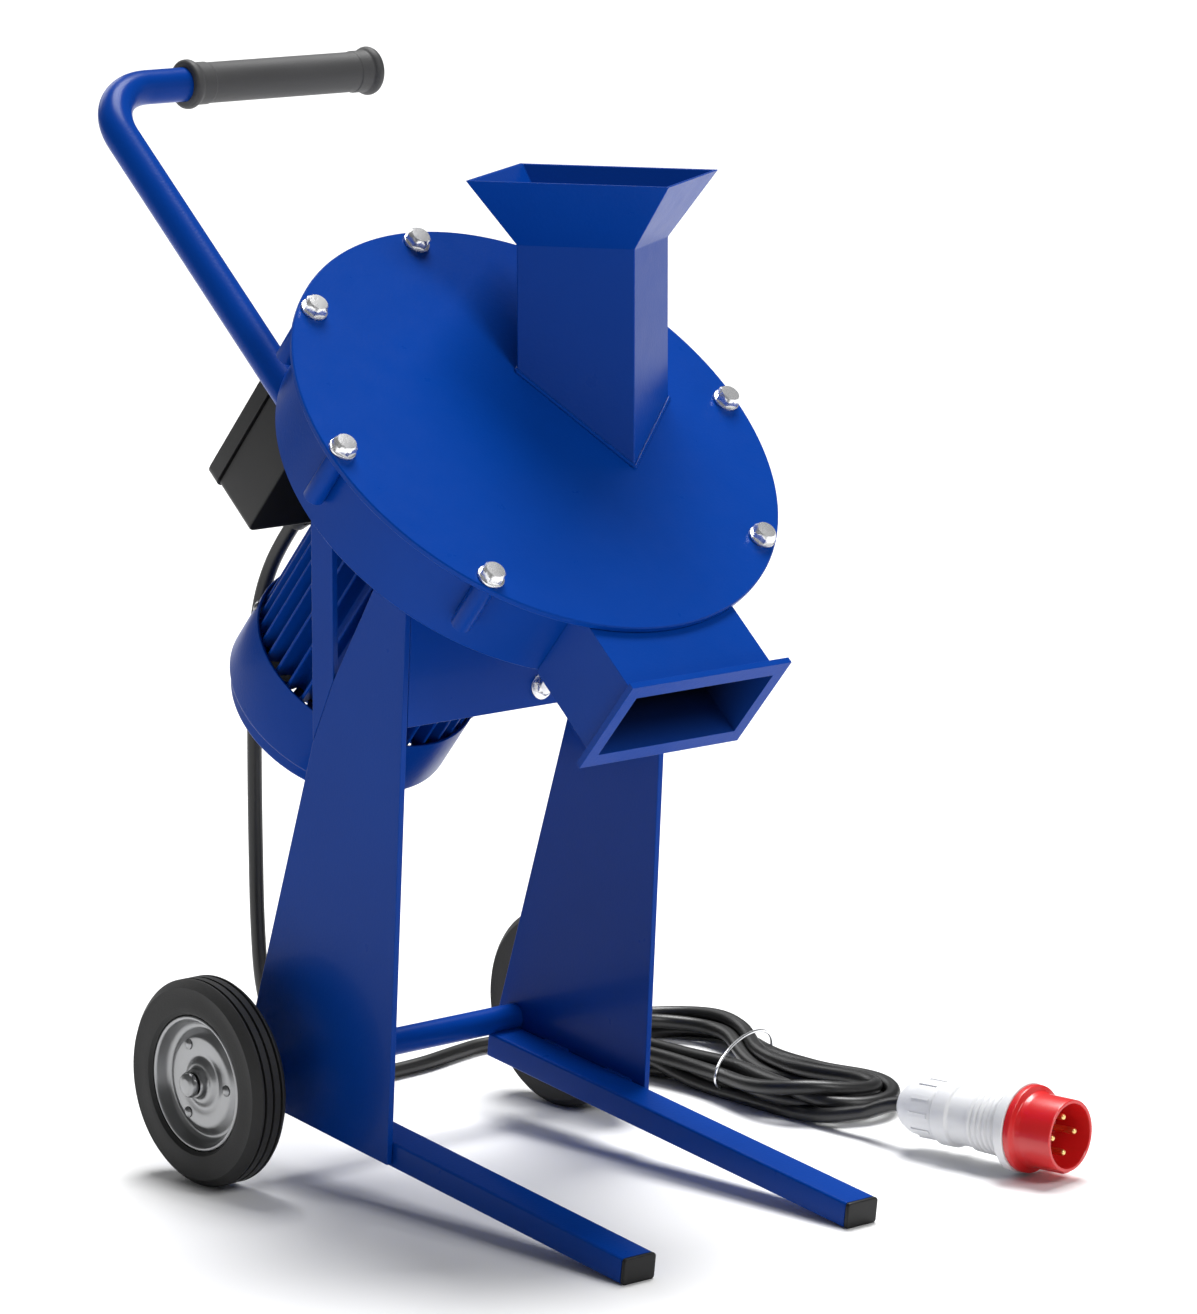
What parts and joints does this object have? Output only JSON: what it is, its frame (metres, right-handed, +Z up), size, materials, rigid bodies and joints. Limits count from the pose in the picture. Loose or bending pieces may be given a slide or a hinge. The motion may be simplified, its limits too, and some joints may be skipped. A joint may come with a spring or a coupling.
{
  "type": "hammer mill",
  "caption": "Tilted drum hammer mill on a two-wheeled stand, with feed hopper, discharge duct, motor, switch box, tow handle, cable and red three-phase plug.",
  "frame": {"origin": "on the floor under the middle of the machine without its free cord", "axes": "+Z up, +X to the machine's right seen from the discharge side, +Y to the back, where the motor and the wheels are"},
  "size_m": [0.6385, 0.6779, 0.8333],
  "materials": {
    "blue_paint": "gloss",
    "zinc": "bright zinc plate",
    "steel": "satin",
    "core_steel": "satin",
    "black_plastic": "satin",
    "rubber": "matt",
    "tyre": "matt",
    "grey_plastic": "satin",
    "red_plastic": "gloss",
    "green_plastic": "gloss"
  },
  "bodies": {
    "machine": {"left_rail": "blue_paint", "left_rail_cap": "black_plastic", "left_side_plate": "blue_paint", "left_rear_strut": "blue_paint", "left_axle_cap": "zinc", "right_rail": "blue_paint", "right_rail_cap": "black_plastic", "right_side_plate": "blue_paint", "right_rear_strut": "blue_paint", "right_axle_cap": "zinc", "front_plate": "blue_paint", "axle_tube": "blue_paint", "axle_rod": "zinc", "mill_housing": "blue_paint", "discharge_duct": "blue_paint", "front_cover": "blue_paint", "cover_bolt_1": "zinc", "cover_bolt_2": "zinc", "cover_bolt_3": "zinc", "cover_bolt_4": "zinc", "cover_bolt_5": "zinc", "cover_bolt_6": "zinc", "cover_bolt_7": "zinc", "hopper": "blue_paint", "screen": "steel", "motor_flange": "blue_paint", "front_bearing": "steel", "motor_housing": "blue_paint", "rear_bearing": "steel", "stator_core": "core_steel", "fan_cowl": "blue_paint", "switch_box": "black_plastic", "switch_box_lid": "black_plastic", "cable_gland": "black_plastic", "handle_tube": "blue_paint", "handle_grip": "rubber", "cable_run": "rubber", "cable_coil": "rubber", "cable_tail": "rubber", "plug_body": "grey_plastic", "plug_shroud": "red_plastic"},
    "rotor": {"rotor": "steel", "hammer_pin_1": "steel", "hammer_pin_2": "steel", "hammer_pin_3": "steel", "hammer_pin_4": "steel", "rotor_bolt": "zinc", "motor_rotor": "core_steel", "cooling_fan": "black_plastic"},
    "hammer_1": {"hammer_1": "steel"},
    "hammer_2": {"hammer_2": "steel"},
    "hammer_3": {"hammer_3": "steel"},
    "hammer_4": {"hammer_4": "steel"},
    "left_wheel": {"left_wheel_rim": "zinc", "left_tyre": "tyre"},
    "right_wheel": {"right_wheel_rim": "zinc", "right_tyre": "tyre"},
    "start_button": {"start_button": "green_plastic"},
    "stop_button": {"stop_button": "red_plastic"}
  },
  "joints": [
    {"name": "rotor_spin", "type": "hinge", "parent": "machine", "child": "rotor", "pos_m": [0, -0.04689, 0.56961], "axis": [0, -0.6557, 0.7551], "continuous": true},
    {"name": "hammer_1_swing", "type": "hinge", "parent": "rotor", "child": "hammer_1", "pos_m": [0.04808, -0.00304, 0.59245], "axis": [0, -0.6557, 0.7551], "range_deg": [-5, 275]},
    {"name": "hammer_2_swing", "type": "hinge", "parent": "rotor", "child": "hammer_2", "pos_m": [-0.04808, -0.01353, 0.60453], "axis": [0, -0.6557, 0.7551], "range_deg": [-275, 5]},
    {"name": "hammer_3_swing", "type": "hinge", "parent": "rotor", "child": "hammer_3", "pos_m": [-0.04808, -0.07566, 0.52939], "axis": [0, -0.6557, 0.7551], "range_deg": [-185, 95]},
    {"name": "hammer_4_swing", "type": "hinge", "parent": "rotor", "child": "hammer_4", "pos_m": [0.04808, -0.08614, 0.54148], "axis": [0, -0.6557, 0.7551], "range_deg": [-95, 185]},
    {"name": "left_wheel_spin", "type": "hinge", "parent": "machine", "child": "left_wheel", "pos_m": [-0.18, 0.08863, 0.08], "axis": [1, 0, 0], "continuous": true},
    {"name": "right_wheel_spin", "type": "hinge", "parent": "machine", "child": "right_wheel", "pos_m": [0.18, 0.08863, 0.08], "axis": [1, 0, 0], "continuous": true},
    {"name": "start_press", "type": "slide", "parent": "machine", "child": "start_button", "axis": [0, -0.7551, -0.6557], "range_m": [0, 0.004], "stiffness_N_per_m": 300, "springref_m": -0.003},
    {"name": "stop_press", "type": "slide", "parent": "machine", "child": "stop_button", "axis": [0, -0.7551, -0.6557], "range_m": [0, 0.004], "stiffness_N_per_m": 300, "springref_m": -0.003}
  ]
}
